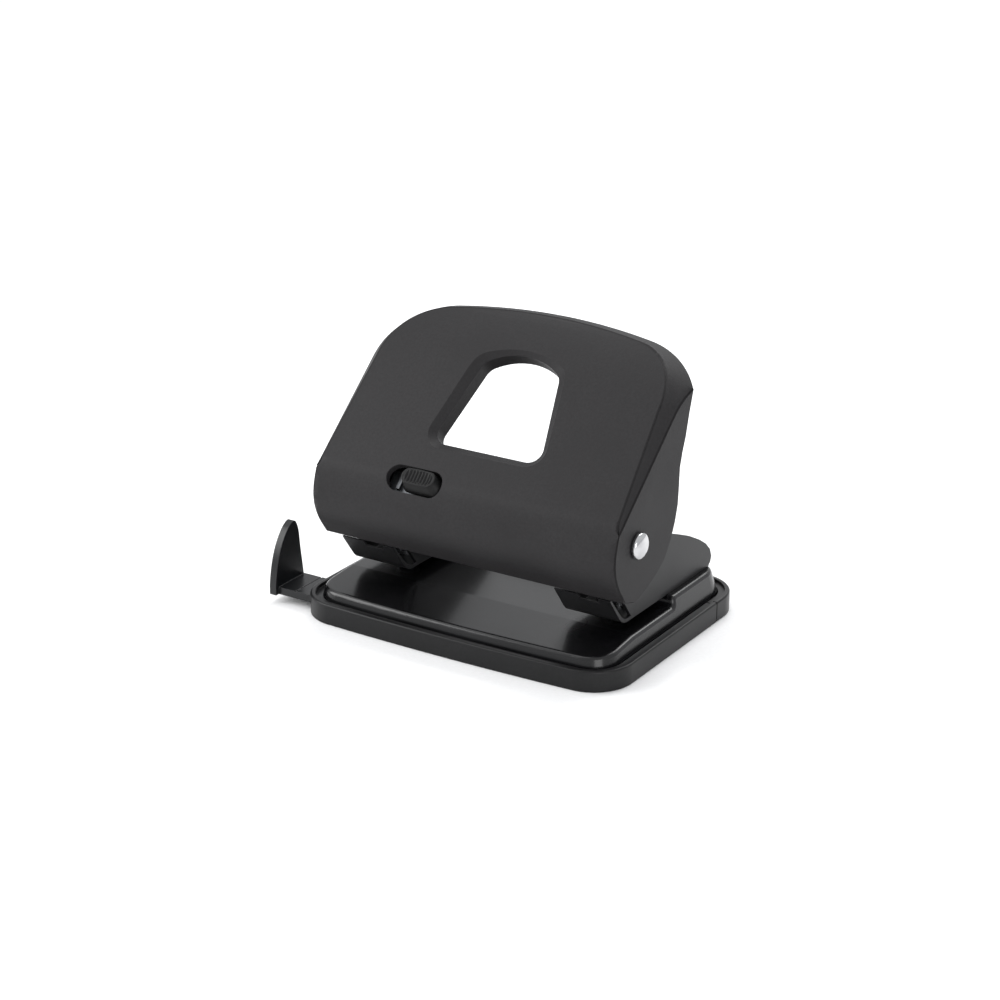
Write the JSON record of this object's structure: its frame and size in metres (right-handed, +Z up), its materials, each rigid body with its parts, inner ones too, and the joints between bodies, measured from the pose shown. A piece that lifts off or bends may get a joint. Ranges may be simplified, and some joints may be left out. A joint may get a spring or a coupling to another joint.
{
  "type": "two-hole paper punch",
  "caption": "Desk paper punch: tilting handle with a hand opening, coupled spring-loaded punches, pull-out paper guide, lock slide and chad tray on a pressed steel base.",
  "frame": {"origin": "on the table under the middle of the tray", "axes": "+Z up; +Y towards the back, the way the paper goes in; +X to the right seen from the front"},
  "size_m": [0.1312, 0.089, 0.0949],
  "materials": {
    "tray_plastic": "satin black moulded",
    "gloss_black_steel": "gloss black enamel",
    "black_steel": "semi-gloss black paint",
    "bright_steel": "zinc plated",
    "pin_steel": "bright drawn wire",
    "spring_steel": "bright spring wire",
    "cap_chrome": "polished",
    "handle_plastic": "fine matte texture",
    "button_plastic": "satin, ribbed",
    "guide_plastic": "smooth satin"
  },
  "bodies": {
    "base": {"base_tray": "tray_plastic", "door_pin": "pin_steel", "base_plate": "gloss_black_steel", "die_left": "bright_steel", "die_right": "bright_steel", "frame_left": "black_steel", "frame_right": "black_steel", "frame_rivets": "bright_steel", "guide_bush_left": "bright_steel", "guide_bush_right": "bright_steel", "pivot_shaft": "bright_steel", "shaft_spacer": "bright_steel", "shaft_washer_left": "bright_steel", "shaft_washer_right": "bright_steel", "shaft_cap_left": "cap_chrome", "shaft_cap_right": "cap_chrome", "punch_spring_left": "spring_steel", "punch_spring_right": "spring_steel", "guide_bridge": "bright_steel"},
    "handle": {"handle_shell": "handle_plastic", "press_lever": "bright_steel", "lever_screws": "bright_steel", "lock_spring": "spring_steel"},
    "lock": {"lock_button": "button_plastic", "lock_slide": "bright_steel"},
    "punch_left": {"punch_pin_left": "bright_steel", "punch_clip_left": "bright_steel"},
    "punch_right": {"punch_pin_right": "bright_steel", "punch_clip_right": "bright_steel"},
    "guide": {"paper_guide": "guide_plastic"},
    "door": {"chad_door": "tray_plastic"}
  },
  "joints": [
    {"name": "handle_press", "type": "hinge", "parent": "base", "child": "handle", "pos_m": [0, -0.0222, 0.0424], "axis": [-1, 0, 0], "range_deg": [0, 26], "stiffness_Nm_per_rad": 0.5, "springref_deg": -20.05},
    {"name": "punch_left_stroke", "type": "slide", "parent": "base", "child": "punch_left", "axis": [0, 0, -1], "range_m": [0, 0.0077], "deforming": ["punch_spring_left"]},
    {"name": "punch_right_stroke", "type": "slide", "parent": "base", "child": "punch_right", "axis": [0, 0, -1], "range_m": [0, 0.0077], "deforming": ["punch_spring_right"]},
    {"name": "lock_slide_travel", "type": "slide", "parent": "handle", "child": "lock", "axis": [-1, 0, 0], "range_m": [0, 0.005]},
    {"name": "guide_pull", "type": "slide", "parent": "base", "child": "guide", "axis": [-1, 0, 0], "range_m": [-0.0102, 0.06]},
    {"name": "door_swing", "type": "hinge", "parent": "base", "child": "door", "pos_m": [0.0218, 0.0432, 0.0038], "axis": [0, 0, 1], "range_deg": [0, 75]}
  ],
  "couplings": [
    {"joint": "punch_left_stroke", "follows": "handle_press", "m_per_rad": 0.0167},
    {"joint": "punch_right_stroke", "follows": "handle_press", "m_per_rad": 0.0167}
  ]
}
